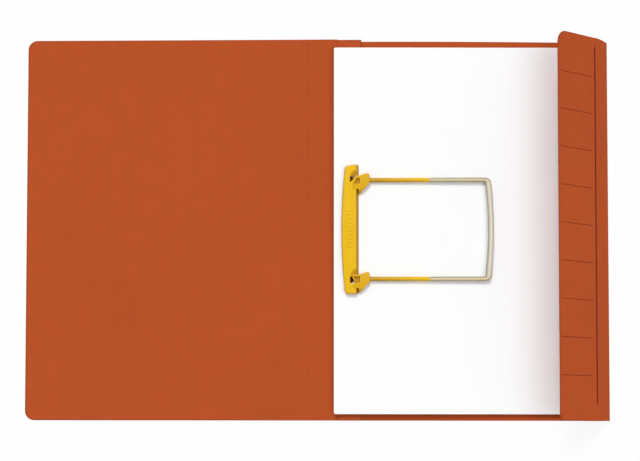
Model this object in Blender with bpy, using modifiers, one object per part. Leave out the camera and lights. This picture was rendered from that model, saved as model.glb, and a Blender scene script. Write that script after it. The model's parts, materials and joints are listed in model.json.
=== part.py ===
"""A4 clip folder: creased boards, a pile of filed sheets and a filing clip with a pull-out bow."""
import math

import bmesh
import bpy
from mathutils import Matrix, Vector

# Sheets that the folder is made for, in metres like every length here
SHEET_WIDTH = 0.210
SHEET_HEIGHT = 0.297
STACK_THICKNESS = 0.0041
PUNCH_RADIUS = 0.003
PUNCH_FROM_EDGE = 0.012
PUNCH_SPACING = 0.080

# Margins between the sheets and the boards
SHEET_LEFT_MARGIN = 0.0005
SHEET_RIGHT_MARGIN = 0.0115
SHEET_BOTTOM_MARGIN = 0.0054
SHEET_TOP_MARGIN = 0.0056

# Boards
BOARD = 0.0005
CREASE_GAP = 0.0004
FIT_GAP = 0.0003
SPINE_WIDTH = 0.020
COVER_OVERHANG = 0.008
COVER_TOP_STEP = 0.002
COVER_CORNER = 0.0075
STRIP_WIDTH = 0.023
STRIP_LANDING = 0.0025
STRIP_RAMP = 0.003
REAR_CORNER = 0.002
GUSSET_WIDTH = 0.018
GUSSET_CORNER = 0.0045
GUSSET_LEAN = math.radians(52)
LABEL_WIDTH = 0.046
LABEL_CORNER = 0.0075
LABEL_FOLD = math.radians(6)

# Anchor and glue between the two boards
ANCHOR_WIDTH = 0.009
ANCHOR_END = 0.010
ANCHOR_THICKNESS = 0.0004
PEG_RADIUS = 0.0012
PEG_CLEARANCE = 0.00025
PEG_DEPTH = 0.0027
GLUE_GAP = 0.0005
GLUE_END = 0.010

# Clip bar
BAR_HEIGHT = 0.004
BAR_END = 0.0135
BAR_LEFT = 0.0045
BAR_BULGE = 0.0032
BAR_FOOT = 0.0024
BAR_LEAN = 0.0012
BAR_CORNER = 0.0015
BAR_EDGE = 0.0004
WINDOW_WALL = 0.0004
WINDOW_LENGTH = 0.0018
WINDOW_UP = 0.0027
WINDOW_DOWN = 0.0021

# Tube arms
BARREL_RELIEF = 0.0001
TONGUE_UP = 0.0032
TONGUE_DOWN = 0.0072
TRUNNION_RADIUS = 0.0007
TRUNNION_LENGTH = 0.0016
TRUNNION_CLEARANCE = 0.0002
BLOCK_REACH = 0.0116
BLOCK_SLANT = 0.0026
BLOCK_SHOULDER = 0.0043
BLOCK_CHAMFER = 0.0026
BLOCK_TOE = 0.0117
BLOCK_CORNER = 0.001
TUBE_RADIUS = 0.0017
TUBE_LENGTH = 0.0482
BORE_RADIUS = 0.00125
BORE_DEPTH = 0.044

# Bow
PIN_CLEARANCE = 0.00025
PIN_LENGTH = 0.040
BOW_LEG = 0.0488
BOW_BULGE = 0.0025
BOW_CORNER = 0.0022

ROUND_SIDES = 32
ARC_STEPS = 6
BULGE_STEPS = 24
SHARP_ANGLE = math.radians(40)
JOIN_OVERLAP = 0.0005
WELD_DISTANCE = 0.00001

# Sizes that follow from the values above
REAR_WIDTH = SHEET_LEFT_MARGIN + SHEET_WIDTH + SHEET_RIGHT_MARGIN
REAR_HEIGHT = SHEET_BOTTOM_MARGIN + SHEET_HEIGHT + SHEET_TOP_MARGIN
COVER_WIDTH = REAR_WIDTH + COVER_OVERHANG
COVER_HEIGHT = REAR_HEIGHT + COVER_TOP_STEP
FOLD_OUTSIDE = BOARD * math.sin(GUSSET_LEAN) - CREASE_GAP / 2 * math.cos(GUSSET_LEAN)
SPINE_X = (COVER_WIDTH + SPINE_WIDTH - REAR_WIDTH - FOLD_OUTSIDE) / 2
FOLD_X = SPINE_X + REAR_WIDTH
BOTTOM_Y = -COVER_HEIGHT / 2
REAR_Y = BOTTOM_Y + REAR_HEIGHT / 2
SHEET_X = SPINE_X + SHEET_LEFT_MARGIN
SHEET_Y = BOTTOM_Y + SHEET_BOTTOM_MARGIN + SHEET_HEIGHT / 2

ANCHOR_Z = BOARD + FIT_GAP
STRIP_Z = ANCHOR_Z + ANCHOR_THICKNESS + FIT_GAP
STACK_Z = STRIP_Z + BOARD + FIT_GAP
STACK_TOP = STACK_Z + STACK_THICKNESS
BAR_Z = STACK_TOP + FIT_GAP
HINGE_Z = BAR_Z + BAR_HEIGHT / 2

REAR_START = STRIP_LANDING + STRIP_RAMP
PUNCH_X = SHEET_X + PUNCH_FROM_EDGE
SOCKET_RADIUS = PEG_RADIUS + PEG_CLEARANCE
BARREL_RADIUS = BAR_HEIGHT / 2 - BARREL_RELIEF
WINDOW_X = PUNCH_X + SOCKET_RADIUS + WINDOW_WALL
HINGE_X = WINDOW_X + WINDOW_LENGTH + BARREL_RADIUS
BAR_LENGTH = PUNCH_SPACING + 2 * BAR_END
BLOCK_START = max(BAR_FOOT, math.hypot(BAR_FOOT - BAR_LEAN, BAR_HEIGHT / 2)) + FIT_GAP
TUBE_END = BLOCK_REACH + TUBE_LENGTH
PIN_RADIUS = BORE_RADIUS - PIN_CLEARANCE
LEG_START = TUBE_END + FIT_GAP
UPPER_Y = SHEET_Y + PUNCH_SPACING / 2
LOWER_Y = SHEET_Y - PUNCH_SPACING / 2


def new_collection(name):
    """Return a new collection linked to the scene."""
    collection = bpy.data.collections.new(name)
    bpy.context.scene.collection.children.link(collection)
    return collection


def new_material(name, colour, roughness):
    """Return a plain material of one colour."""
    material = bpy.data.materials.new(name)
    material.use_nodes = True
    shader = material.node_tree.nodes["Principled BSDF"]
    shader.inputs["Base Color"].default_value = (*colour, 1.0)
    shader.inputs["Roughness"].default_value = roughness
    return material


def new_empty(collection, name, location, turn=0.0, parent=None):
    """Return an empty on a joint's axis, turned about Y."""
    empty = bpy.data.objects.new(name, None)
    empty.location = location
    empty.rotation_euler = (0.0, turn, 0.0)
    empty.empty_display_size = 0.01
    empty.parent = parent
    collection.objects.link(empty)
    return empty


def add_piece(collection, name, mesh, material, location=(0.0, 0.0, 0.0), parent=None):
    """Return a named piece of the folder made from a mesh."""
    mesh.name = name
    mesh.materials.append(material)
    piece = bpy.data.objects.new(name, mesh)
    piece.location = location
    piece.parent = parent
    collection.objects.link(piece)
    return piece


def add_tool(collection, name, mesh, location=(0.0, 0.0, 0.0), parent=None):
    """Return a hidden shape that is cut from a piece or joined to one."""
    tool = bpy.data.objects.new(name, mesh)
    tool.location = location
    tool.parent = parent
    tool.hide_render = True
    tool.display_type = "WIRE"
    collection.objects.link(tool)
    return tool


def combine(piece, tool, operation):
    """Add a boolean modifier that cuts a tool from a piece or joins it on."""
    modifier = piece.modifiers.new(tool.name, "BOOLEAN")
    modifier.operation = operation
    modifier.solver = "EXACT"
    modifier.object = tool


def rounded_outline(corners):
    """Return the points of an outline whose corners are given as (x, y, radius)."""
    outline = []
    for index, (x, y, radius) in enumerate(corners):
        corner = Vector((x, y))
        if radius == 0.0:
            outline.append(corner)
            continue
        following = corners[(index + 1) % len(corners)]
        backward = (Vector(corners[index - 1][:2]) - corner).normalized()
        forward = (Vector(following[:2]) - corner).normalized()
        half_angle = backward.angle(forward) / 2
        middle = (backward + forward).normalized()
        centre = corner + middle * (radius / math.sin(half_angle))
        start = corner + backward * (radius / math.tan(half_angle)) - centre
        end = corner + forward * (radius / math.tan(half_angle)) - centre
        for step in range(ARC_STEPS + 1):
            direction = start.slerp(end, step / ARC_STEPS).normalized()
            outline.append(centre + direction * radius)
    return outline


def outline_mesh(outline, bottom, top):
    """Return a flat outline in X and Y filled and extruded from bottom to top."""
    curve = bpy.data.curves.new("outline", "CURVE")
    curve.dimensions = "2D"
    curve.fill_mode = "BOTH"
    curve.extrude = (top - bottom) / 2
    spline = curve.splines.new("POLY")
    spline.points.add(len(outline) - 1)
    for point, (x, y) in zip(spline.points, outline):
        point.co = (x, y, 0.0, 1.0)
    spline.use_cyclic_u = True
    holder = bpy.data.objects.new("outline", curve)
    mesh = bpy.data.meshes.new_from_object(holder)
    bpy.data.objects.remove(holder)
    bpy.data.curves.remove(curve)
    shape = bmesh.new()
    shape.from_mesh(mesh)
    bmesh.ops.remove_doubles(shape, verts=shape.verts, dist=WELD_DISTANCE)
    bmesh.ops.translate(shape, verts=shape.verts, vec=(0.0, 0.0, (bottom + top) / 2))
    bmesh.ops.recalc_face_normals(shape, faces=shape.faces)
    shape.to_mesh(mesh)
    shape.free()
    return mesh


def profile_mesh(profile, back, front):
    """Return an outline in X and Z extruded along Y from back to front."""
    mesh = outline_mesh(profile, -front, -back)
    mesh.transform(Matrix.Rotation(math.pi / 2, 4, "X"))
    return mesh


def box_mesh(low, high):
    """Return a box between two opposite corners."""
    shape = bmesh.new()
    size = Vector(high) - Vector(low)
    middle = (Vector(high) + Vector(low)) / 2
    placement = Matrix.Translation(middle) @ Matrix.Diagonal((*size, 1.0))
    bmesh.ops.create_cube(shape, size=1.0, matrix=placement)
    mesh = bpy.data.meshes.new("box")
    shape.to_mesh(mesh)
    shape.free()
    return mesh


def rod_mesh(radius, start, end, axis):
    """Return a round rod between two distances along the X, Y or Z axis."""
    shape = bmesh.new()
    turn = Matrix.Identity(4)
    if axis == "X":
        turn = Matrix.Rotation(math.pi / 2, 4, "Y")
    if axis == "Y":
        turn = Matrix.Rotation(-math.pi / 2, 4, "X")
    placement = turn @ Matrix.Translation((0.0, 0.0, (start + end) / 2))
    bmesh.ops.create_cone(
        shape,
        cap_ends=True,
        segments=ROUND_SIDES,
        radius1=radius,
        radius2=radius,
        depth=end - start,
        matrix=placement,
    )
    mesh = bpy.data.meshes.new("rod")
    shape.to_mesh(mesh)
    shape.free()
    mesh.shade_smooth()
    mesh.set_sharp_from_angle(angle=SHARP_ANGLE)
    return mesh


def make_boards(folder, tools, board):
    """Build the panels of the cover piece and of the rear piece, creased to each other."""
    half_gap = CREASE_GAP / 2
    half_cover = COVER_HEIGHT / 2
    half_rear = REAR_HEIGHT / 2

    spine_fold = new_empty(folder, "spine_fold", (SPINE_X, 0.0, BOARD))
    spine = [
        (-SPINE_WIDTH + half_gap, -half_cover, 0.0),
        (-half_gap, -half_cover, 0.0),
        (-half_gap, half_cover, 0.0),
        (-SPINE_WIDTH + half_gap, half_cover, 0.0),
    ]
    spine_mesh = outline_mesh(rounded_outline(spine), -BOARD, 0.0)
    add_piece(folder, "spine_panel", spine_mesh, board, parent=spine_fold)

    cover_fold = new_empty(folder, "cover_fold", (-SPINE_WIDTH, 0.0, 0.0), parent=spine_fold)
    cover = [
        (-COVER_WIDTH, -half_cover, COVER_CORNER),
        (-half_gap, -half_cover, 0.0),
        (-half_gap, half_cover, 0.0),
        (-COVER_WIDTH, half_cover, COVER_CORNER),
    ]
    cover_mesh = outline_mesh(rounded_outline(cover), -BOARD, 0.0)
    add_piece(folder, "front_cover", cover_mesh, board, parent=cover_fold)

    strip = [
        (half_gap, 0.0, 0.0),
        (STRIP_LANDING, 0.0, 0.0),
        (REAR_START, STRIP_Z, 0.0),
        (STRIP_WIDTH, STRIP_Z, 0.0),
        (STRIP_WIDTH, STRIP_Z + BOARD, 0.0),
        (REAR_START, STRIP_Z + BOARD, 0.0),
        (STRIP_LANDING, BOARD, 0.0),
        (half_gap, BOARD, 0.0),
    ]
    strip_mesh = profile_mesh(rounded_outline(strip), -half_cover, half_cover)
    strip_piece = add_piece(folder, "hinge_strip", strip_mesh, board, (SPINE_X, 0.0, 0.0))
    for label, y in (("upper", UPPER_Y), ("lower", LOWER_Y)):
        hole_mesh = rod_mesh(SOCKET_RADIUS, STRIP_Z - BOARD, STRIP_Z + 2 * BOARD, "Z")
        hole = add_tool(tools, f"{label}_strip_hole", hole_mesh, (PUNCH_X, y, 0.0))
        combine(strip_piece, hole, "DIFFERENCE")

    rear = [
        (REAR_START, -half_rear, 0.0),
        (REAR_WIDTH - half_gap, -half_rear, 0.0),
        (REAR_WIDTH - half_gap, half_rear, REAR_CORNER),
        (REAR_START, half_rear, 0.0),
    ]
    rear_mesh = outline_mesh(rounded_outline(rear), 0.0, BOARD)
    add_piece(folder, "rear_panel", rear_mesh, board, (SPINE_X, REAR_Y, 0.0))

    gusset_turn = GUSSET_LEAN - math.pi
    gusset_fold = new_empty(folder, "gusset_fold", (FOLD_X, REAR_Y, BOARD), gusset_turn)
    gusset = [
        (half_gap, -half_rear, 0.0),
        (GUSSET_WIDTH - half_gap, -half_rear, 0.0),
        (GUSSET_WIDTH - half_gap, half_rear, 0.0),
        (half_gap, half_rear, GUSSET_CORNER),
    ]
    gusset_mesh = outline_mesh(rounded_outline(gusset), -BOARD, 0.0)
    add_piece(folder, "flap_gusset", gusset_mesh, board, parent=gusset_fold)

    label_place = (GUSSET_WIDTH, 0.0, 0.0)
    label_fold = new_empty(folder, "label_fold", label_place, -LABEL_FOLD, gusset_fold)
    label = [
        (half_gap, -half_rear, 0.0),
        (LABEL_WIDTH, -half_rear, LABEL_CORNER),
        (LABEL_WIDTH, half_rear, LABEL_CORNER),
        (half_gap, half_rear, 0.0),
    ]
    label_mesh = outline_mesh(rounded_outline(label), -BOARD, 0.0)
    add_piece(folder, "flap_label_strip", label_mesh, board, parent=label_fold)


def make_glue(folder, glue):
    """Build the two lines of glue that hold the cover piece on the rear panel."""
    anchor_side = PUNCH_X - SPINE_X - ANCHOR_WIDTH / 2
    lines = {
        "glue_line_left": (REAR_START + GLUE_GAP, anchor_side - GLUE_GAP),
        "glue_line_right": (anchor_side + ANCHOR_WIDTH + GLUE_GAP, STRIP_WIDTH - GLUE_GAP),
    }
    reach = REAR_HEIGHT / 2 - GLUE_END
    for name, (left, right) in lines.items():
        low = (left, -reach, ANCHOR_Z)
        high = (right, reach, ANCHOR_Z + ANCHOR_THICKNESS)
        add_piece(folder, name, box_mesh(low, high), glue, (SPINE_X, REAR_Y, 0.0))


def make_stack(folder, tools, paper):
    """Build the pile of punched sheets, stepped where it lies over the glued strip."""
    step = STRIP_WIDTH + FIT_GAP - SHEET_LEFT_MARGIN
    profile = [
        (0.0, STACK_Z, 0.0),
        (step, STACK_Z, 0.0),
        (step, BOARD + FIT_GAP, 0.0),
        (SHEET_WIDTH, BOARD + FIT_GAP, 0.0),
        (SHEET_WIDTH, STACK_TOP, 0.0),
        (0.0, STACK_TOP, 0.0),
    ]
    half = SHEET_HEIGHT / 2
    mesh = profile_mesh(rounded_outline(profile), -half, half)
    stack = add_piece(folder, "paper_stack", mesh, paper, (SHEET_X, SHEET_Y, 0.0))
    for label, y in (("upper", UPPER_Y), ("lower", LOWER_Y)):
        hole_mesh = rod_mesh(PUNCH_RADIUS, STACK_Z - BOARD, STACK_TOP + BOARD, "Z")
        hole = add_tool(tools, f"{label}_punched_hole", hole_mesh, (PUNCH_X, y, 0.0))
        combine(stack, hole, "DIFFERENCE")


def make_anchor(folder, tools, plastic):
    """Build the strip between the boards whose two pegs hold the clip bar."""
    reach = PUNCH_SPACING / 2 + ANCHOR_END
    half = ANCHOR_WIDTH / 2
    low = (-half, -reach, ANCHOR_Z)
    high = (half, reach, ANCHOR_Z + ANCHOR_THICKNESS)
    place = (PUNCH_X, SHEET_Y, 0.0)
    anchor = add_piece(folder, "clip_anchor", box_mesh(low, high), plastic, place)
    for label, y in (("upper", UPPER_Y), ("lower", LOWER_Y)):
        peg_mesh = rod_mesh(PEG_RADIUS, ANCHOR_Z + ANCHOR_THICKNESS / 2, BAR_Z + PEG_DEPTH, "Z")
        peg = add_tool(tools, f"{label}_peg", peg_mesh, (PUNCH_X, y, 0.0))
        combine(anchor, peg, "UNION")


def make_bar(folder, tools, plastic):
    """Build the clip bar with a hinge slot, a window and a peg socket for each tube arm."""
    half = BAR_LENGTH / 2
    left = PUNCH_X - HINGE_X - BAR_LEFT
    corners = [(BAR_FOOT, -half, BAR_CORNER), (BAR_FOOT, half, BAR_CORNER)]
    for step in range(BULGE_STEPS + 1):
        along = 1.0 - 2.0 * step / BULGE_STEPS
        radius = BAR_CORNER if step in (0, BULGE_STEPS) else 0.0
        corners.append((left + BAR_BULGE * along ** 2, half * along, radius))
    mesh = outline_mesh(rounded_outline(corners), -BAR_HEIGHT / 2, BAR_HEIGHT / 2)
    middle = PUNCH_X - HINGE_X
    for vertex in mesh.vertices:
        if vertex.co.z > 0.0 and vertex.co.x > middle:
            vertex.co.x -= BAR_LEAN * (vertex.co.x - middle) / (BAR_FOOT - middle)
    bar = add_piece(folder, "clip_bar", mesh, plastic, (HINGE_X, SHEET_Y, HINGE_Z))
    edge = bar.modifiers.new("rounded edges", "BEVEL")
    edge.width = BAR_EDGE
    edge.segments = 2
    edge.limit_method = "ANGLE"
    edge.angle_limit = SHARP_ANGLE

    window_left = WINDOW_X - HINGE_X
    slot_left = -BARREL_RADIUS - FIT_GAP
    hole_radius = TRUNNION_RADIUS + TRUNNION_CLEARANCE
    hole_end = TRUNNION_LENGTH + FIT_GAP
    for label, y in (("upper", UPPER_Y), ("lower", LOWER_Y)):
        place = (HINGE_X, y, HINGE_Z)
        slot_low = (slot_left, -TONGUE_DOWN - FIT_GAP, -BAR_HEIGHT)
        slot_high = (2 * BAR_FOOT, TONGUE_UP + FIT_GAP, BAR_HEIGHT)
        slot = add_tool(tools, f"{label}_slot", box_mesh(slot_low, slot_high), place)
        combine(bar, slot, "DIFFERENCE")
        window_low = (window_left, -WINDOW_DOWN, -BAR_HEIGHT)
        window_high = (0.0, WINDOW_UP, BAR_HEIGHT)
        window = add_tool(tools, f"{label}_window", box_mesh(window_low, window_high), place)
        combine(bar, window, "DIFFERENCE")
        hole_mesh = rod_mesh(hole_radius, -TONGUE_DOWN - hole_end, TONGUE_UP + hole_end, "Y")
        hole = add_tool(tools, f"{label}_trunnion_hole", hole_mesh, place)
        combine(bar, hole, "DIFFERENCE")
        socket_mesh = rod_mesh(SOCKET_RADIUS, -BAR_HEIGHT, BAR_HEIGHT, "Z")
        socket_top = BAR_Z + PEG_DEPTH + FIT_GAP - BAR_HEIGHT
        socket = add_tool(tools, f"{label}_socket", socket_mesh, (PUNCH_X, y, socket_top))
        combine(bar, socket, "DIFFERENCE")


def make_tube_arm(folder, tools, plastic, label, y):
    """Build one hinged arm: barrel with trunnions, bracket and hollow tube, and return it."""
    block = [
        (BLOCK_START, TONGUE_UP, 0.0),
        (BLOCK_REACH - BLOCK_CORNER, TONGUE_UP + BLOCK_SLANT, BLOCK_CORNER),
        (BLOCK_REACH, BLOCK_SHOULDER, 0.0),
        (BLOCK_REACH, -BLOCK_CHAMFER, 0.0),
        (BLOCK_START, -BLOCK_TOE, 0.0),
    ]
    mesh = outline_mesh(rounded_outline(block), -BARREL_RADIUS, BARREL_RADIUS)
    place = (HINGE_X, y, HINGE_Z)
    arm = add_piece(folder, f"{label}_tube", mesh, plastic, place)

    tongue_low = (0.0, -TONGUE_DOWN, -BARREL_RADIUS)
    tongue_high = (BLOCK_START + JOIN_OVERLAP, TONGUE_UP, BARREL_RADIUS)
    pin_low = -TONGUE_DOWN - TRUNNION_LENGTH
    pin_high = TONGUE_UP + TRUNNION_LENGTH
    tube_start = BLOCK_REACH - JOIN_OVERLAP
    additions = {
        "barrel": rod_mesh(BARREL_RADIUS, -TONGUE_DOWN, TONGUE_UP, "Y"),
        "tongue": box_mesh(tongue_low, tongue_high),
        "trunnion": rod_mesh(TRUNNION_RADIUS, pin_low, pin_high, "Y"),
        "sleeve": rod_mesh(TUBE_RADIUS, tube_start, TUBE_END, "X"),
    }
    for name, addition in additions.items():
        combine(arm, add_tool(tools, f"{label}_{name}", addition, parent=arm), "UNION")
    bore_mesh = rod_mesh(BORE_RADIUS, TUBE_END - BORE_DEPTH, TUBE_END + TUBE_RADIUS, "X")
    combine(arm, add_tool(tools, f"{label}_bore", bore_mesh, parent=arm), "DIFFERENCE")
    return arm


def bow_path():
    """Return points of the bow from the upper leg round the crossbar to the lower leg."""
    half = PUNCH_SPACING / 2
    corner_x = LEG_START + BOW_LEG
    path = [Vector((LEG_START, half)), Vector((corner_x - BOW_CORNER, half))]
    upper_centre = Vector((corner_x - BOW_CORNER, half - BOW_CORNER))
    for step in range(1, ARC_STEPS + 1):
        turn = math.pi / 2 * (1.0 - step / ARC_STEPS)
        path.append(upper_centre + BOW_CORNER * Vector((math.cos(turn), math.sin(turn))))
    reach = half - BOW_CORNER
    for step in range(1, BULGE_STEPS):
        along = 1.0 - 2.0 * step / BULGE_STEPS
        path.append(Vector((corner_x + BOW_BULGE * (1.0 - along ** 2), reach * along)))
    lower_half = [Vector((point.x, -point.y)) for point in path[:ARC_STEPS + 2]]
    return path + lower_half[::-1]


def make_bow(folder, tools, plastic, arm):
    """Build the bow whose two pins slide in the tubes."""
    path = bow_path()
    curve = bpy.data.curves.new("bow", "CURVE")
    curve.dimensions = "3D"
    curve.bevel_depth = TUBE_RADIUS
    curve.bevel_resolution = 4
    curve.use_fill_caps = True
    spline = curve.splines.new("POLY")
    spline.points.add(len(path) - 1)
    wide = BARREL_RADIUS / TUBE_RADIUS
    for index, (point, (x, y)) in enumerate(zip(spline.points, path)):
        point.co = (x, y, 0.0, 1.0)
        point.radius = 1.0 if index in (0, 1, len(path) - 2, len(path) - 1) else wide
    holder = bpy.data.objects.new("bow", curve)
    mesh = bpy.data.meshes.new_from_object(holder)
    bpy.data.objects.remove(holder)
    bpy.data.curves.remove(curve)
    mesh.materials.clear()

    # The bow is a child of the upper tube, so its own middle lies half a spacing below
    bow = add_piece(folder, "clip_bow", mesh, plastic, (0.0, -PUNCH_SPACING / 2, 0.0), arm)
    weld = bow.modifiers.new("welded caps", "WELD")
    weld.merge_threshold = WELD_DISTANCE
    pin_start = LEG_START - PIN_LENGTH
    for label, side in (("upper", 1.0), ("lower", -1.0)):
        pin_mesh = rod_mesh(PIN_RADIUS, pin_start, LEG_START + JOIN_OVERLAP, "X")
        place = (0.0, side * PUNCH_SPACING / 2, 0.0)
        pin = add_tool(tools, f"{label}_pin", pin_mesh, place, bow)
        combine(bow, pin, "UNION")


def main():
    """Clear the scene and build the folder."""
    for item in list(bpy.data.objects):
        bpy.data.objects.remove(item)
    folder = new_collection("clip_folder")
    tools = new_collection("cutters")

    board = new_material("orange_board", (0.474, 0.086, 0.023), 0.85)
    paper = new_material("white_paper", (0.86, 0.86, 0.85), 0.85)
    glue = new_material("clear_glue", (0.75, 0.70, 0.55), 0.4)
    yellow = new_material("yellow_plastic", (0.867, 0.522, 0.013), 0.45)
    natural = new_material("natural_plastic", (0.648, 0.623, 0.492), 0.4)

    make_boards(folder, tools, board)
    make_glue(folder, glue)
    make_stack(folder, tools, paper)
    make_anchor(folder, tools, natural)
    make_bar(folder, tools, yellow)
    upper = make_tube_arm(folder, tools, yellow, "upper", UPPER_Y)
    make_tube_arm(folder, tools, yellow, "lower", LOWER_Y)
    make_bow(folder, tools, natural, upper)


main()
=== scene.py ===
"""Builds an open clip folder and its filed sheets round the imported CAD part."""

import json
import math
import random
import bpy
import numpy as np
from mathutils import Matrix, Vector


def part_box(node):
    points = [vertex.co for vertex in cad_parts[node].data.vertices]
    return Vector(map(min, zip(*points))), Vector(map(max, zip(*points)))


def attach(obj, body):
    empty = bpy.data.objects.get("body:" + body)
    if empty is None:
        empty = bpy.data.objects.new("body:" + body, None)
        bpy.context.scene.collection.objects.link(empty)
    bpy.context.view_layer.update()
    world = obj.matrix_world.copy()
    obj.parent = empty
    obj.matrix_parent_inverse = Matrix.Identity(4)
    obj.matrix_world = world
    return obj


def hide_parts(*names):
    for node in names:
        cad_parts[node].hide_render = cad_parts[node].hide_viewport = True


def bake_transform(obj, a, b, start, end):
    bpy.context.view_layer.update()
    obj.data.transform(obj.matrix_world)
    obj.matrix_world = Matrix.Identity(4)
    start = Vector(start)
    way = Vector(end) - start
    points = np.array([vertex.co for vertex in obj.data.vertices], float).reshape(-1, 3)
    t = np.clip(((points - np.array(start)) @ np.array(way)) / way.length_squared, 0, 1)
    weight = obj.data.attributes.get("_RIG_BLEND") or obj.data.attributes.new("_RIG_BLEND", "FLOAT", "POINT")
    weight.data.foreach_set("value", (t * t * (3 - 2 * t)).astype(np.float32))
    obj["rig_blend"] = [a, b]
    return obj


bl_info = {
    "name": "Clip folder",
    "version": (1, 0, 0),
    "blender": (4, 5, 0),
    "location": "View3D > Sidebar > Clip folder",
    "description": "Builds an open clip folder and its filed sheets round a fixed frame",
    "category": "Object",
}

from functools import partial

import bmesh
import bpy
from bpy.props import FloatProperty, FloatVectorProperty, IntProperty, PointerProperty
from bpy.types import Operator, Panel, PropertyGroup
from mathutils import Matrix, Vector

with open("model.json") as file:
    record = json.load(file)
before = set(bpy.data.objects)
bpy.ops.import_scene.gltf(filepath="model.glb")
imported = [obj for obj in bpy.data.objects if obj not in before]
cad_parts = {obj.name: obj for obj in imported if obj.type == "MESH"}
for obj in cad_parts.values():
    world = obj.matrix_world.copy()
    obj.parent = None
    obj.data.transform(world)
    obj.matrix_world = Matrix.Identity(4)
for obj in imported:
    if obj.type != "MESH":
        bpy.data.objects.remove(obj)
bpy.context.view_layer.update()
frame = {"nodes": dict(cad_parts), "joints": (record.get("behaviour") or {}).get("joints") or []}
JOINTS = {joint["name"]: joint for joint in frame["joints"]}

TINY = 1e-6
WHITE = (1.0, 1.0, 1.0, 1.0)
SIDES = ("upper", "lower")
ROUND_SIDES = 32
CORNER_STEPS = 8
BEND_STEPS = 12

# Edges that turn by more degrees than these are shaded as sharp
BOARD_SHARP = 20.0
PAPER_SHARP = 30.0
BOW_SHARP = 32.0
RIB_SHARP = 35.0
MOULD_SHARP = 40.0
CREASE_SHARP = 60.0

# The flap stands at these turns from lying flat beside the rear board
GUSSET_TURN = math.radians(-128.0)
LABEL_TURN = math.radians(-134.0)

# Pressed lines: share of a spine crease's reach, share of the board's thickness at the fold,
# share of a division line that is wall, how soon the painted shade is full, and the shade tones
SPINE_PRESS = 0.7
FOLD_PRESS = 0.54
LINE_WALL = 0.25
PRESS_RISE = 4.0
SPINE_TONE = 0.04
FOLD_TONE = 0.12
FULL_TONE = 1.0
# Share of the fold that turns with the board, on each side
FOLD_INWARD = 0.2

# The overlap strip leaves the spine crease flat, then climbs over the glued anchor
STRIP_LANDING = 0.0025
STRIP_RAMP = 0.003
STRIP_TRIM = 0.0006

# Plan of a tube arm about its hinge: tongue, bracket with its radii, and pocket in the tongue
ARM_HALF_HEIGHT = 0.0019
TONGUE_LOW = -0.00745
TONGUE_HIGH = 0.00345
BRACKET = (
    (0.0027, -0.0117),
    (0.0116, -0.0026),
    (0.0116, 0.0043),
    (0.0106, 0.0058),
    (0.0027, 0.00345),
)
BRACKET_RADII = (0.0008, 0.0006, 0.0006, 0.0008)
POCKETS = {
    "upper": ((-0.0012, -0.0030), (0.0038, -0.0030), (0.0038, 0.0016), (0.0012, 0.0016)),
    "lower": ((-0.0002, -0.0030), (0.0038, -0.0030), (0.0038, 0.0020), (-0.0010, 0.0020)),
}
POCKET_FLOOR = 0.0003

# The bracket's toe slopes down to its tip
TOE_START = -0.0077
TOE_FALL = 0.0021
TOE_STEPS = 5

# Cuts through the clip bar about each hinge: the arm's slot, the window beside it and a scoop
SLOT = ((-0.00196, -0.0075), (0.0060, -0.0075), (0.0060, 0.0035), (-0.00196, 0.0035))
WINDOWS = {
    "upper": ((-0.0042, -0.0016), (-0.0036, -0.0016), (0.0003, 0.00352), (-0.0042, 0.00352)),
    "lower": ((-0.0042, -0.0036), (-0.0006, -0.0036), (-0.0006, -0.0018), (-0.0028, 0.0019),
              (-0.0042, 0.0019)),
}
CUT_REACH = 0.004
CUT_CORNER = 0.0003
SCOOP_PLACE = (0.0012, 0.0031)
SCOOP_WIDTH = 0.0052
SCOOP_DEPTH = 0.0018

# How far below the top face a moulding reaches its full painted shade, on walls and in hollows,
# how level a hollow's floor is, and the least painted shade over an arm
DEEP_START = 0.0001
WALL_RUN = 0.0003
HOLLOW_RUN = 0.0014
HOLLOW_LEVEL = 0.75
ARM_LEAST_SHADE = 0.3

# Stretches of a tube and of the bow, measured from the hinge
TUBE_RADIUS = 0.0017
BORE_RADIUS = 0.00125
TUBE_START = 0.0110
TUBE_END = 0.0598
BORE_START = 0.0158
LEG_START = 0.0601
PIN_START = 0.0201
PIN_RADIUS = 0.0010
BOW_CORNER_X = 0.1074
BOW_CORNER = 0.0028
BOW_BULGE = 0.0020
BOW_SPREAD = 0.13


def declare(make, facts, name, description, default):
    """Return one setting, with the facts that all of its kind share."""
    return make(name=name, description=description, default=default, **facts)


Length = partial(declare, FloatProperty, {"unit": "LENGTH", "min": 0.0})
Place = partial(declare, FloatProperty, {"unit": "LENGTH"})
Angle = partial(declare, FloatProperty, {"subtype": "ANGLE"})
Share = partial(declare, FloatProperty, {"subtype": "FACTOR", "min": 0.0, "max": 1.0})
Colour = partial(
    declare, FloatVectorProperty, {"subtype": "COLOR", "size": 3, "min": 0.0, "max": 1.0})
Pair = partial(declare, FloatVectorProperty, {"subtype": "TRANSLATION", "size": 2})
Count = partial(declare, IntProperty, {"min": 0})


class CLIPFOLDER_PG_board(PropertyGroup):
    """Sizes and colour of the dyed board"""

    colour: Colour("Board colour", "Colour of the dyed board", (0.4535, 0.0763, 0.0159))
    cover_corner: Length("Cover corner", "Radius of the front cover's outer corners", 0.0075)
    rim_round: Length("Rim rounding", "How far the cut edges are softened", 0.00012)
    # The wear band carries the rim mark: worn colour and painted shade along the cut edges
    wear_and_shade_band: Length("Wear band", "Width of the worn band along the cut edges", 0.0014)
    crease_half: Length("Crease reach", "How far a crease bends the board on each side", 0.001)
    crease_depth: Length(
        "Crease depth", "Depth of the pressed line in the two spine creases", 0.00004)


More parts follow.
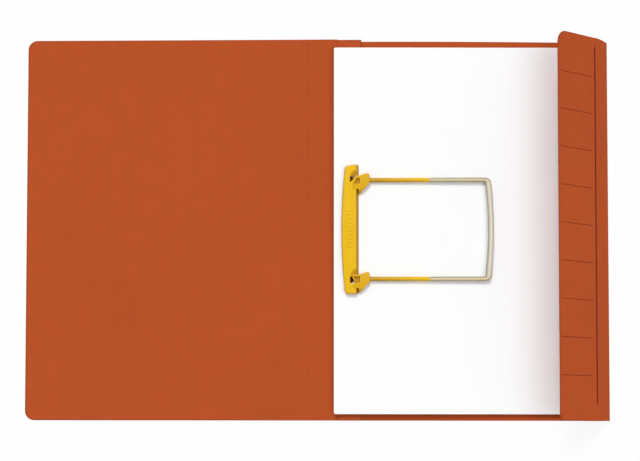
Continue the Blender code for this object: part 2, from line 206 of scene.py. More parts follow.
class CLIPFOLDER_PG_flap(PropertyGroup):
    """Sizes of the index flap"""

    label_corner: Length("Label corner", "Radius of the flap's upper free corner", 0.010)
    label_foot: Length("Label foot", "Radius of the flap's lower free corner", 0.005)
    label_slant: Pair(
        "Label slant", "How far the free edge's lower and upper ends stand higher",
        (0.0007, 0.0019))
    fold_corner: Length(
        "Fold corner", "How far the boards' top corners are cut back at the fold", 0.0022)
    fold_half: Length("Fold reach", "How far the fold bends the board on each side", 0.0008)
    score_half: Length("Score half width", "Half the width of the score line", 0.00098)
    score_depth: Length("Score depth", "Depth of the score line", 0.00022)
    score_top: Place("Score top", "Height at which the score line ends above", 0.1452)
    score_bottom: Place("Score bottom", "Height at which the score line ends below", -0.1408)
    line_count: Count("Division lines", "Number of lines that divide the label strip", 9)
    line_first: Place("First line", "Height of the uppermost division line", 0.1209)
    line_pitch: Length("Line pitch", "Distance from one division line to the next", 0.030)
    line_start: Length("Line start", "Distance of the lines from the score line", 0.0045)
    line_end: Length("Line end", "Distance of the lines' far ends from the score line", 0.0434)
    line_width: Length("Line width", "Width of a division line", 0.0005)
    line_depth: Length("Line depth", "Depth of a division line", 0.00012)


class CLIPFOLDER_PG_sheets(PropertyGroup):
    """Sizes and colour of the filed sheets"""

    colour: Colour("Paper colour", "Colour of the filed sheets", (0.943, 0.958, 0.959))
    count: Count("Sheets", "Number of sheets in the pile", 34)
    thickness: Length("Sheet thickness", "Thickness of one sheet", 0.0001)
    corner: Length("Sheet corner", "Radius of the sheets' corners", 0.0012)
    stray: Length("Stray", "How far a sheet may lie out of line with the top one", 0.0003)
    hole_radius: Length("Hole radius", "Radius of the two punched holes", 0.0032)
    hole_shift: Place(
        "Hole shift", "How far the hung sheets stand off to the right of their pegs", 0.0015)


class CLIPFOLDER_PG_clip(PropertyGroup):
    """Sizes and colours of the filing clip"""

    yellow: Colour("Bar colour", "Colour of the clip bar and its tubes", (0.815, 0.480, 0.0013))
    natural: Colour("Bow colour", "Colour of the undyed bow", (0.718, 0.686, 0.552))
    bar_flare: Pair(
        "Bar flare", "How far the bar's foot spreads to its left and its right", (0.0012, 0.0004))
    bar_bulge: Length("Bar bulge", "How far the bar's left side bows out at its middle", 0.0031)
    bar_slant: Length("Bar slant", "How far the bar's upper end falls towards its left", 0.0013)
    bar_trim: Pair(
        "Bar trim", "How far the bar stands back from its CAD ends, below and above",
        (0.0016, 0.0008))
    bar_lean: Pair(
        "Bar lean", "How far the bar's left and right walls lean in at their tops",
        (0.0007, 0.0019))
    bar_edge: Length("Bar edge", "Rounding of the bar's upper edges", 0.0005)
    rib_count: Count("Grip ribs", "Number of plain grip ribs on the bar", 10)
    rib_pitch: Length("Rib pitch", "Distance from one grip rib to the next", 0.0033)
    rib_length: Length("Rib length", "Length of a grip rib across the bar", 0.0040)
    rib_width: Length("Rib width", "Width of a grip rib along the bar", 0.0010)
    rib_height: Length("Rib height", "How far a grip rib stands above the bar", 0.00035)


class CLIPFOLDER_PG_stage(PropertyGroup):
    """Camera, light and floor"""

    lens: FloatProperty(
        name="Lens", description="Focal length of the camera in millimetres",
        unit="CAMERA", min=1.0, default=125.14)
    place: FloatVectorProperty(
        name="Camera place", description="Where the camera stands",
        subtype="TRANSLATION", size=3, default=(0.0698, -0.1304, 1.8))
    tilt: FloatVectorProperty(
        name="Camera tilt", description="Pitch, swing and roll of the camera from straight down",
        subtype="EULER", size=3,
        default=(math.radians(4.099), math.radians(2.123), math.radians(-0.11)))
    dome: Share("Dome level", "Light from all round, where 1 shows a colour as written", 0.375)
    key: Share("Key level", "Light from the key, where 1 shows a colour as written", 0.42)
    key_height: Angle("Key height", "Angle of the key light above the floor", math.radians(53.0))
    key_side: Angle(
        "Key side", "Angle of the key light round from the top edge, to the left",
        math.radians(13.0))
    key_spread: Angle("Key spread", "Width of the key light as an angle", math.radians(20.0))
    fill: Share("Fill level", "Light from the fill, where 1 shows a colour as written", 0.245)
    fill_height: Angle(
        "Fill height", "Angle of the fill light above the floor, on the right",
        math.radians(67.0))
    fill_spread: Angle("Fill spread", "Width of the fill light as an angle", math.radians(42.0))
    floor_glow: Share(
        "Floor glow", "Share of plain white that the camera sees in the floor", 0.88)


class Signal:
    """One shader value; Python arithmetic on it adds Math nodes."""

    def __init__(self, finish, socket):
        self.finish = finish
        self.socket = socket

    def math(self, operation, first, second):
        return self.finish.node("ShaderNodeMath", {"operation": operation}, {0: first, 1: second})

    def __add__(self, other):
        return self.math("ADD", self, other)

    def __sub__(self, other):
        return self.math("SUBTRACT", self, other)

    def __rsub__(self, other):
        return self.math("SUBTRACT", other, self)

    def __mul__(self, other):
        return self.math("MULTIPLY", self, other)

    def limited(self):
        return self.finish.node("ShaderNodeClamp", None, {"Value": self})

    __radd__ = __add__
    __rmul__ = __mul__


class Finish:
    """The nodes of one material or of the world."""

    def __init__(self, owner):
        owner.use_nodes = True
        self.tree = owner.node_tree
        self.tree.nodes.clear()

    def node(self, kind, settings=None, inputs=None, output=0):
        """Add a node, set it up, fill or link its inputs and return one output."""
        made = self.tree.nodes.new(kind)
        for name, setting in (settings or {}).items():
            setattr(made, name, setting)
        for name, value in (inputs or {}).items():
            if isinstance(value, Signal):
                self.tree.links.new(value.socket, made.inputs[name])
            else:
                made.inputs[name].default_value = value
        return Signal(self, made.outputs[output]) if made.outputs else None

    def place(self, stretch=(1.0, 1.0, 1.0)):
        """Return the piece's own coordinates, squeezed along the axes as asked."""
        own = self.node("ShaderNodeTexCoord", output="Object")
        return self.node("ShaderNodeMapping", None, {"Vector": own, "Scale": stretch})

    def noise(self, place, size, detail, roughness):
        """Return cloudy noise whose largest blotches are about size across."""
        inputs = {"Vector": place, "Scale": 1.0 / size, "Detail": detail, "Roughness": roughness}
        return self.node("ShaderNodeTexNoise", None, inputs)

    def mark(self, name):
        """Return a value stored on the piece's own points."""
        return self.node("ShaderNodeAttribute", {"attribute_name": name}, output="Fac")

    def mix(self, share, first, second):
        """Return a colour between two colours."""
        inputs = {0: share, 6: first, 7: second}
        return self.node("ShaderNodeMix", {"data_type": "RGBA"}, inputs, 2)

    def surface(self, colour, roughness, relief, strength, distance, shine):
        """Finish a material with its colour, roughness, fine relief and shine."""
        inputs = {"Strength": strength, "Distance": distance, "Height": relief}
        normal = self.node("ShaderNodeBump", None, inputs, "Normal")
        inputs = {"Base Color": colour, "Roughness": roughness, "Normal": normal}
        inputs["Specular IOR Level"] = shine
        shader = self.node("ShaderNodeBsdfPrincipled", None, inputs)
        self.node("ShaderNodeOutputMaterial", None, {"Surface": shader})

    def seen(self):
        """Return 1 for rays that show the surroundings to the camera, and 0 for the rest."""
        path = [
            self.node("ShaderNodeLightPath", output=name)
            for name in ("Is Camera Ray", "Is Glossy Ray", "Is Transmission Ray")
        ]
        return (path[0] + path[1] + path[2]).limited()


def shade(colour, *gains):
    """Return a colour as a socket takes it, multiplied by one gain or by one for each part."""
    if len(gains) == 1:
        gains *= 3
    return (*(min(1.0, part * gain) for part, gain in zip(colour, gains)), 1.0)


def painted(paint):
    """Return the material that a function paints, made when it is first asked for."""
    made = bpy.data.materials.get(paint.__name__)
    if made is None:
        made = bpy.data.materials.new(paint.__name__)
        paint(Finish(made))
    return made


def dyed_board(finish):
    """Paint the board: dyed fibres, worn rims with painted shade, and pressed lines with painted shade."""
    colour = bpy.context.scene.clip_folder_board.colour
    own = finish.place()
    along = finish.place((1.0, 0.22, 1.0))
    fibre = finish.noise(along, 0.0012, 5.0, 0.62)
    grain = finish.noise(own, 0.00045, 3.0, 0.6)
    cloud = finish.noise(own, 0.013, 3.0, 0.5)
    drift = finish.noise(own, 0.12, 1.0, 0.4)
    rim = finish.mark("rim")
    press_and_shade = finish.mark("press_and_shade")
    tone = 0.5 + (fibre - 0.5) * 0.9 + (cloud - 0.5) * 0.6 + (drift - 0.5) * 0.5
    base = finish.mix(tone.limited(), shade(colour, 0.90), shade(colour, 1.10))
    # Painted shade along the cut edges: the rim band is darker than wear alone would make it
    worn_and_shaded_rim = shade(colour, 0.62, 0.66, 0.95)
    base = finish.mix((rim * (0.4 + 0.7 * fibre)).limited(), base, worn_and_shaded_rim)
    # Painted shade in the pressed lines and creases, partly darker pressed fibre
    pressed_and_shaded = shade(colour, 0.40, 0.18, 0.12)
    base = finish.mix((press_and_shade * (0.85 + 0.3 * grain)).limited(), base, pressed_and_shaded)
    roughness = 0.70 + 0.22 * fibre - 0.12 * press_and_shade
    relief = fibre + 0.6 * grain
    finish.surface(base, roughness, relief, strength=0.22, distance=0.00006, shine=0.12)


def filing_paper(finish):
    """Paint the sheets: white paper with a faint tooth."""
    colour = bpy.context.scene.clip_folder_sheets.colour
    own = finish.place()
    tooth = finish.noise(own, 0.0006, 4.0, 0.6)
    cloud = finish.noise(own, 0.02, 3.0, 0.5)
    tone = (0.5 + (cloud - 0.5) * 0.8 + (tooth - 0.5) * 0.4).limited()
    base = finish.mix(tone, shade(colour, 0.988), shade(colour, 1.012))
    roughness = 0.80 + 0.14 * tooth
    finish.surface(base, roughness, tooth, strength=0.10, distance=0.00003, shine=0.2)


def moulded_plastic(finish, colour, deep_shade, warm, gloss, shine):
    """Paint a moulded plastic: flow marks, a fine skin, painted shade on walls and in hollows."""
    own = finish.place()
    flow = finish.noise(finish.place((1.0, 0.3, 1.0)), 0.006, 3.0, 0.5)
    skin = finish.noise(own, 0.00035, 3.0, 0.6)
    share = (0.2 + 1.2 * (flow - 0.25)).limited()
    base = finish.mix(share, shade(colour, 0.94), shade(colour, 1.04))
    base = finish.mix(finish.mark("warm"), base, shade(colour, *warm))
    # Painted shade: the deep_shade mark darkens walls, hollows and the bow's sides
    base = finish.mix(finish.mark("deep_shade") * (0.8 + 0.4 * flow), base, shade(colour, *deep_shade))
    roughness = gloss + 0.16 * (flow - 0.5) + 0.12 * (skin - 0.5)
    finish.surface(base, roughness, skin, strength=0.10, distance=0.00002, shine=shine)


def yellow_moulding(finish):
    """Paint the plastic of the clip bar and its tubes."""
    colour = bpy.context.scene.clip_folder_clip.yellow
    # deep_shade is the tone of painted shade on walls and in hollows
    deep_shade, warm = (0.58, 0.47, 2.0), (0.95, 0.88, 1.0)
    moulded_plastic(finish, colour, deep_shade, warm, gloss=0.38, shine=0.2)


def natural_moulding(finish):
    """Paint the undyed plastic of the bow and the hidden anchor."""
    colour = bpy.context.scene.clip_folder_clip.natural
    # deep_shade is the tone of painted shade on the bow's sides
    deep_shade, warm = (0.32, 0.30, 0.27), (0.95, 0.82, 0.62)
    moulded_plastic(finish, colour, deep_shade, warm, gloss=0.32, shine=0.35)


def dried_glue(finish):
    """Paint the glue lines between the boards."""
    plain = (1.0,)
    moulded_plastic(finish, (0.75, 0.70, 0.55), plain, plain, gloss=0.25, shine=0.5)


def pale_floor(finish):
    """Paint the floor, which the camera sees nearly white and which keeps a shadow."""
    matt = finish.node("ShaderNodeBsdfDiffuse", None, {"Color": (0.95, 0.95, 0.95, 1.0)})
    glow = finish.node("ShaderNodeEmission", None, {"Color": WHITE, "Strength": 1.0})
    share = finish.seen() * bpy.context.scene.clip_folder_stage.floor_glow
    mixed = finish.node("ShaderNodeMixShader", None, {0: share, 1: matt, 2: glow})
    finish.node("ShaderNodeOutputMaterial", None, {"Surface": mixed})


def smooth_step(share):
    """Return share, held between 0 and 1, eased at both ends."""
    share = min(1.0, max(0.0, share))
    return share * share * (3.0 - 2.0 * share)


def evenly(start, end, parts):
    """Return the places that divide a stretch into equal parts, with its two ends."""
    return [start + (end - start) * step / parts for step in range(parts + 1)]


def joint_point(name):
    """Return the place of a joint's axis."""
    return Vector(JOINTS[name]["pos_m"])


def hinge_point(side):
    """Return the place of the upper or lower arm's hinge."""
    return joint_point(f"{side}_arm_swing")


def board_thickness():
    """Return the thickness of the board."""
    low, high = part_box("front_cover")
    return high.z - low.z


def write_mesh(shape, mesh, sharp):
    """Write a bmesh into a mesh, smooth but for its sharp edges."""
    shape.to_mesh(mesh)
    shape.free()
    mesh.shade_smooth()
    mesh.set_sharp_from_angle(angle=math.radians(sharp))


def make_piece(name, shape, material, sharp=MOULD_SHARP):
    """Turn a finished bmesh into an object at the origin and return it."""
    mesh = bpy.data.meshes.new(name)
    write_mesh(shape, mesh, sharp)
    mesh.materials.append(material)
    piece = bpy.data.objects.new(name, mesh)
    bpy.context.scene.collection.objects.link(piece)
    return piece


def hand_over(piece, body, node):
    """Let a piece move with a body and stand for one of its CAD nodes."""
    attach(piece, body)
    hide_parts(node)


def combine(piece, shape, operation, sharp=MOULD_SHARP):
    """Cut a bmesh out of a piece, or add it, and leave a plain mesh."""
    tool = make_piece("tool", shape, piece.data.materials[0])
    change = piece.modifiers.new("change", "BOOLEAN")
    change.object = tool
    change.operation = operation
    change.solver = "EXACT"
    graph = bpy.context.evaluated_depsgraph_get()
    changed = bpy.data.meshes.new_from_object(piece.evaluated_get(graph))
    if not changed.polygons:
        raise RuntimeError(f"{piece.name} lost its mesh")
    piece.modifiers.clear()
    former, tool_mesh = piece.data, tool.data
    piece.data = changed
    bpy.data.objects.remove(tool)
    bpy.data.meshes.remove(tool_mesh)
    bpy.data.meshes.remove(former)
    changed.name = piece.name
    clean = bmesh.new()
    clean.from_mesh(changed)
    bmesh.ops.dissolve_degenerate(clean, dist=TINY, edges=clean.edges)
    write_mesh(clean, changed, sharp)


def cut(piece, *cutters):
    """Cut solids out of a moulding, one after another."""
    for cutter in cutters:
        combine(piece, cutter, "DIFFERENCE")


def flat_face(outline, height, *marks):
    """Return a bmesh of one level face whose points can be marked, and the face's corners."""
    shape = bmesh.new()
    for mark in marks:
        shape.verts.layers.float.new(mark)
    corners = [shape.verts.new((x, y, height)) for x, y in outline]
    shape.faces.new(corners)
    return shape, corners


def cut_lines(shape, axis, places):
    """Cut all faces along lines at the given places on the X (0) or Y (1) axis."""
    normal = Vector((0.0, 0.0, 0.0))
    normal[axis] = 1.0
    for place in places:
        everything = shape.verts[:] + shape.edges[:] + shape.faces[:]
        bmesh.ops.bisect_plane(
            shape, geom=everything, dist=TINY, plane_co=normal * place, plane_no=normal)


def soften(shape, parts, width, steps, affect="EDGES"):
    """Round edges, or corner points, by a bevel."""
    bmesh.ops.bevel(
        shape, geom=parts, offset=width, offset_type="OFFSET", segments=steps,
        profile=0.5, affect=affect, material=-1)


def round_corners(shape, corners, radii):
    """Round the corner points of a flat outline, each by its own radius."""
    for corner, radius in zip(corners, radii):
        if radius > 0.0:
            soften(shape, [corner], radius, CORNER_STEPS, "VERTICES")


def thicken(shape, lift):
    """Extrude all faces along Z and close the solid."""
    extruded = bmesh.ops.extrude_face_region(shape, geom=shape.faces[:])
    raised = [item for item in extruded["geom"] if isinstance(item, bmesh.types.BMVert)]
    bmesh.ops.translate(shape, verts=raised, vec=(0.0, 0.0, lift))
    bmesh.ops.recalc_face_normals(shape, faces=shape.faces)


def flat_edges(shape, height=None):
    """Return the level edges of a solid, or only those at one height."""
    found = []
    for edge in shape.edges:
        low, high = sorted(vert.co.z for vert in edge.verts)
        if high - low < TINY and (height is None or abs(high - height) < TINY):
            found.append(edge)
    return found


def prism(hinge, outline, low=-CUT_REACH):
    """Return a cutter about a hinge, from a height to above the clip, with round corners."""
    shape, corners = flat_face(outline, low)
    round_corners(shape, corners, (CUT_CORNER,) * len(corners))
    thicken(shape, CUT_REACH - low)
    bmesh.ops.translate(shape, verts=shape.verts, vec=hinge)
    return shape


def paint_shade_by_depth(piece, top, least=0.0, reach=math.inf):
    """Mark painted shade on the points of a moulding below its top face, as far as reach in X."""
    marks = piece.data.attributes.new("deep_shade", "FLOAT", "POINT")
    for vert, mark in zip(piece.data.vertices, marks.data):
        if vert.co.x < reach:
            run = HOLLOW_RUN if vert.normal.z > HOLLOW_LEVEL else WALL_RUN
            share = smooth_step((top - vert.co.z - DEEP_START) / run)
            mark.value = least + (1.0 - least) * share


def board_panel(left, right, low, high, creased, radii=(0.0,) * 4):
    """Return a panel with its inner face at height 0 and worn, shaded rims, square at its creases."""
    settings = bpy.context.scene.clip_folder_board
    thickness = board_thickness()
    outline = ((left, low), (right, low), (right, high), (left, high))
    shape, corners = flat_face(outline, -thickness, "rim", "press_and_shade")
    round_corners(shape, corners, radii)
    thicken(shape, thickness)

    def on_crease(vert):
        return any(abs(vert.co.x - place) < TINY for place in creased)

    rims = [edge for edge in flat_edges(shape) if not all(map(on_crease, edge.verts))]
    soften(shape, rims, settings.rim_round, steps=2)
    faces = sorted(shape.faces, key=lambda face: -face.calc_area())[:2]
    bmesh.ops.inset_region(
        shape, faces=faces, thickness=settings.wear_and_shade_band, use_boundary=True, use_even_offset=True)
    inside = {vert for face in faces for vert in face.verts}
    # The rim mark paints wear and shade along the outer band of the cut edges
    rim = shape.verts.layers.float["rim"]
    for vert in shape.verts:
        vert[rim] = 0.0 if vert in inside or on_crease(vert) else 1.0
    return shape


def cut_back(shape, square, fold, depth):
    """Let a panel's top edge fall in a curve from its square side to the fold."""
    cut_lines(shape, 0, evenly(square, fold, BEND_STEPS))
    for vert in shape.verts:
        if vert.co.y > 0.0:
            vert.co.y -= depth * ((vert.co.x - square) / (fold - square)) ** 2


def crease_strip(half, low, high, press_half, depth, ends, outside, tone):
    """Return a flat strip of board along a crease, with a line pressed into one of its faces."""
    thickness = board_thickness()
    outline = ((-half, low), (half, low), (half, high), (-half, high))
    shape = flat_face(outline, -thickness, "rim", "press_and_shade")[0]
    cut_lines(shape, 0, evenly(-half, half, BEND_STEPS))
    if press_half < half - TINY:
        cut_lines(shape, 0, (-press_half, press_half))
    bottom, top = ends
    tapers = (bottom - press_half, bottom, top, top + press_half)
    cut_lines(shape, 1, [place for place in tapers if low < place < high])
    thicken(shape, thickness)
    face = -thickness if outside else 0.0
    press_and_shade = shape.verts.layers.float["press_and_shade"]
    for vert in shape.verts:
        x, y, z = vert.co
        if abs(z - face) < TINY and abs(x) < press_half - TINY and bottom - TINY < y < top + TINY:
            share = 1.0 - (x / press_half) ** 2
            vert.co.z += depth * share * (1.0 if outside else -1.0)
            # The pressed line's tone is painted shade in its groove
            vert[press_and_shade] = tone * min(1.0, PRESS_RISE * share)
    return shape


def on_fold(axis, turn, x):
    """Return a place midway through a board that is turned about a crease."""
    return axis + Matrix.Rotation(turn, 3, "Y") @ Vector((x, 0.0, -board_thickness() / 2))


def add_board(name, shape, axis, turn, node, body):
    """Turn a panel about its crease, set it on the joint's axis and make it stand for a node."""
    matrix = Matrix.Translation((axis.x, 0.0, axis.z)) @ Matrix.Rotation(turn, 4, "Y")
    bmesh.ops.transform(shape, matrix=matrix, verts=shape.verts)
    piece = make_piece(name, shape, painted(dyed_board), BOARD_SHARP)
    hand_over(piece, body, node)


def add_crease(name, shape, half, axis, turns, bodies, start, end):
    """Bend a strip from one board's turn to the next one's, and let it bend on between them."""
    for vert in shape.verts:
        share = smooth_step((vert.co.x + half) / (2.0 * half))
        turn = turns[0] + (turns[1] - turns[0]) * share
        vert.co = axis + Matrix.Rotation(turn, 3, "Y") @ vert.co
    piece = make_piece(name, shape, painted(dyed_board), CREASE_SHARP)
    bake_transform(piece, *bodies, start=start, end=end)


class CLIPFOLDER_OT_cover(Operator):
    """Build the front cover, the spine and their two creases"""

    bl_idname = "clip_folder.cover"
    bl_label = "Cover and spine"

    def execute(self, context):
        settings = context.scene.clip_folder_board
        half, corner = settings.crease_half, settings.cover_corner
        cover_axis = joint_point("cover_fold")
        spine_axis = joint_point("spine_fold")
        low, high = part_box("front_cover")
        radii = (corner, 0.0, 0.0, corner)
        shape = board_panel(low.x - cover_axis.x, -half, low.y, high.y, (-half,), radii)
        add_board("cover_board", shape, cover_axis, 0.0, "front_cover", "cover_section")

        ends = (half - (spine_axis.x - cover_axis.x), -half)
        shape = board_panel(*ends, low.y, high.y, ends)
        add_board("spine_board", shape, spine_axis, 0.0, "spine_panel", "spine_section")

        ends = (low.y - half, high.y + half)
        reach = Vector((half, 0.0, 0.0))
        for name, axis, bodies in (
            ("cover_crease", cover_axis, ("spine_section", "cover_section")),
            ("spine_crease", spine_axis, ("rear_section", "spine_section")),
        ):
            shape = crease_strip(
                half, low.y, high.y, SPINE_PRESS * half, settings.crease_depth, ends, False,
                SPINE_TONE)
            add_crease(name, shape, half, axis, (0.0, 0.0), bodies, axis + reach, axis - reach)
        return {"FINISHED"}


class CLIPFOLDER_OT_rear(Operator):
    """Build the rear board and the strip of the cover that is glued over it"""

    bl_idname = "clip_folder.rear"
    bl_label = "Rear board"

    def execute(self, context):
        flap = context.scene.clip_folder_flap
        thickness = board_thickness()
        low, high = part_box("rear_panel")
        fold_x = joint_point("gusset_fold").x - flap.fold_half
        shape = board_panel(low.x, fold_x, low.y, high.y, (fold_x,))
        cut_back(shape, low.x, fold_x, flap.fold_corner)
        inner_face = Vector((0.0, 0.0, thickness))
        add_board("rear_board", shape, inner_face, 0.0, "rear_panel", "rear_section")

        axis = joint_point("spine_fold")
        low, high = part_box("hinge_strip")
        half = context.scene.clip_folder_board.crease_half
        climb = high.z - thickness
        shape = board_panel(half, high.x - axis.x, low.y, high.y, (half,))
        cut_lines(shape, 0, evenly(STRIP_LANDING, STRIP_LANDING + STRIP_RAMP, BEND_STEPS))
        for vert in shape.verts:
            share = smooth_step((vert.co.x - STRIP_LANDING) / STRIP_RAMP)
            vert.co.z += climb * share
            if vert.co.y > 0.0:
                vert.co.y -= STRIP_TRIM * share
        add_board("overlap_strip", shape, axis, 0.0, "hinge_strip", "rear_section")
        return {"FINISHED"}


class CLIPFOLDER_OT_flap(Operator):
    """Build the index flap: gusset, label strip with its division lines, fold and score line"""

    bl_idname = "clip_folder.flap"
    bl_label = "Index flap"

    def execute(self, context):
        flap = context.scene.clip_folder_flap
        thickness = board_thickness()
        fold = joint_point("gusset_fold")
        score = joint_point("label_fold")
        fold.y = score.y = 0.0
        half = context.scene.clip_folder_board.crease_half
        low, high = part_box("flap_gusset")
        ends = (flap.fold_half, (score - fold).length - half)
        shape = board_panel(*ends, low.y, high.y, ends)
        cut_back(shape, ends[1], ends[0], flap.fold_corner)
        add_board("gusset_board", shape, fold, GUSSET_TURN, "flap_gusset", "gusset_section")

        low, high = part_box("flap_label_strip")
        reach = (score.x - low.x) / -math.cos(LABEL_TURN)
        radii = (0.0, flap.label_foot, flap.label_corner, 0.0)
        shape = board_panel(half, reach, low.y, high.y, (half,), radii)
        self.press_lines(shape, flap, thickness)
        for vert in shape.verts:
            rise = (vert.co.y - low.y) / (high.y - low.y)
            slant = flap.label_slant[0] + (flap.label_slant[1] - flap.label_slant[0]) * rise
            vert.co.y += slant * (vert.co.x - half) / (reach - half)
        add_board("label_board", shape, score, LABEL_TURN, "flap_label_strip", "label_section")

        shape = crease_strip(
            half, low.y, high.y, flap.score_half, flap.score_depth,
            (flap.score_bottom, flap.score_top), True, FULL_TONE)
        turns, bodies = (GUSSET_TURN, LABEL_TURN), ("gusset_section", "label_section")
        start, end = on_fold(score, turns[0], -half), on_fold(score, turns[1], half)
        add_crease("score_crease", shape, half, score, turns, bodies, start, end)

        half = flap.fold_half
        ends = (low.y - half, high.y + half)
        shape = crease_strip(
            half, low.y, high.y - flap.fold_corner, half, FOLD_PRESS * thickness, ends, True,
            FOLD_TONE)
        turns, bodies = (0.0, GUSSET_TURN), ("rear_section", "gusset_section")
        start, end = on_fold(fold, turns[0], -half), on_fold(fold, turns[1], half)
        inward = (end - start) * FOLD_INWARD
        add_crease("fold_crease", shape, half, fold, turns, bodies, start + inward, end - inward)
        return {"FINISHED"}

    def press_lines(self, shape, flap, thickness):
        """Press the division lines into the label strip's outer face."""
        places = [flap.line_first - flap.line_pitch * index for index in range(flap.line_count)]
        side = flap.line_width / 2
        cut_lines(shape, 1, [place + offset for place in places for offset in (-side, side)])
        cut_lines(shape, 0, (flap.line_start, flap.line_end))
        lines = []
        for face in shape.faces:
            middle = face.calc_center_median()
            outside = abs(middle.z + thickness) < TINY
            if outside and flap.line_start < middle.x < flap.line_end:
                if any(abs(middle.y - place) < side for place in places):
                    lines.append(face)
        bmesh.ops.inset_individual(
            shape, faces=lines, thickness=LINE_WALL * side, depth=-flap.line_depth,
            use_even_offset=True)
        # The division lines get the full painted shade
        press_and_shade = shape.verts.layers.float["press_and_shade"]
        for face in lines:
            for vert in face.verts:
                vert[press_and_shade] = FULL_TONE


class CLIPFOLDER_OT_sheets(Operator):
    """Build the pile of punched sheets, each lying a little out of line"""

    bl_idname = "clip_folder.sheets"
    bl_label = "Filed sheets"

    COLUMNS = 16
    SEED = 7
    # How far the pile stands to the right, falls at its top right and clears the boards
    SHIFT = 0.0005
    FALL = 0.0010
    CLEARANCE = 0.0003
    PUNCH_LENGTH = 0.04

    def execute(self, context):
        settings = context.scene.clip_folder_sheets
        low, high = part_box("paper_stack")
        strip_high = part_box("hinge_strip")[1]
        on_strip = strip_high.z + self.CLEARANCE
        on_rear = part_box("rear_panel")[1].z + self.CLEARANCE
        last = settings.count - 1
        pitch = (high.z - on_strip - settings.thickness) / max(1, last)
        draw = random.Random(self.SEED)
        shape = bmesh.new()
        size = Vector((high.x - low.x, high.y - low.y, 1.0))
        for index in range(settings.count):
            reach = 0.0 if index == last else settings.stray
            stray = Vector((draw.uniform(-reach, reach), draw.uniform(-reach, reach), 0.0))
            middle = (low + high) / 2 + stray
            middle = Vector((middle.x + self.SHIFT, middle.y, index * pitch))
            made = bmesh.ops.create_grid(
                shape, x_segments=self.COLUMNS, y_segments=1, size=0.5,
                matrix=Matrix.Translation(middle) @ Matrix.Diagonal((*size, 1.0)))
            corners = [vert for vert in made["verts"] if len(vert.link_edges) == 2]
            round_corners(shape, corners, (settings.corner,) * 4)
        for vert in shape.verts:
            sag = smooth_step((vert.co.x - strip_high.x) / (high.x - strip_high.x))
            vert.co.z += on_strip + (on_rear - on_strip) * sag
            if vert.co.y > 0.0:
                vert.co.y -= self.FALL * (vert.co.x - low.x) / size.x
        thicken(shape, settings.thickness)
        piece = make_piece("filed_sheets", shape, painted(filing_paper), PAPER_SHARP)
        holes = bmesh.new()
        for side in SIDES:
            place = hinge_point(side)
            place.x = sum(corner.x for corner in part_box("clip_anchor")) / 2 + settings.hole_shift
            bmesh.ops.create_cone(
                holes, cap_ends=True, segments=ROUND_SIDES, radius1=settings.hole_radius,
                radius2=settings.hole_radius, depth=self.PUNCH_LENGTH,
                matrix=Matrix.Translation(place))
        combine(piece, holes, "DIFFERENCE", PAPER_SHARP)
        hand_over(piece, "rear_section", "paper_stack")
        return {"FINISHED"}


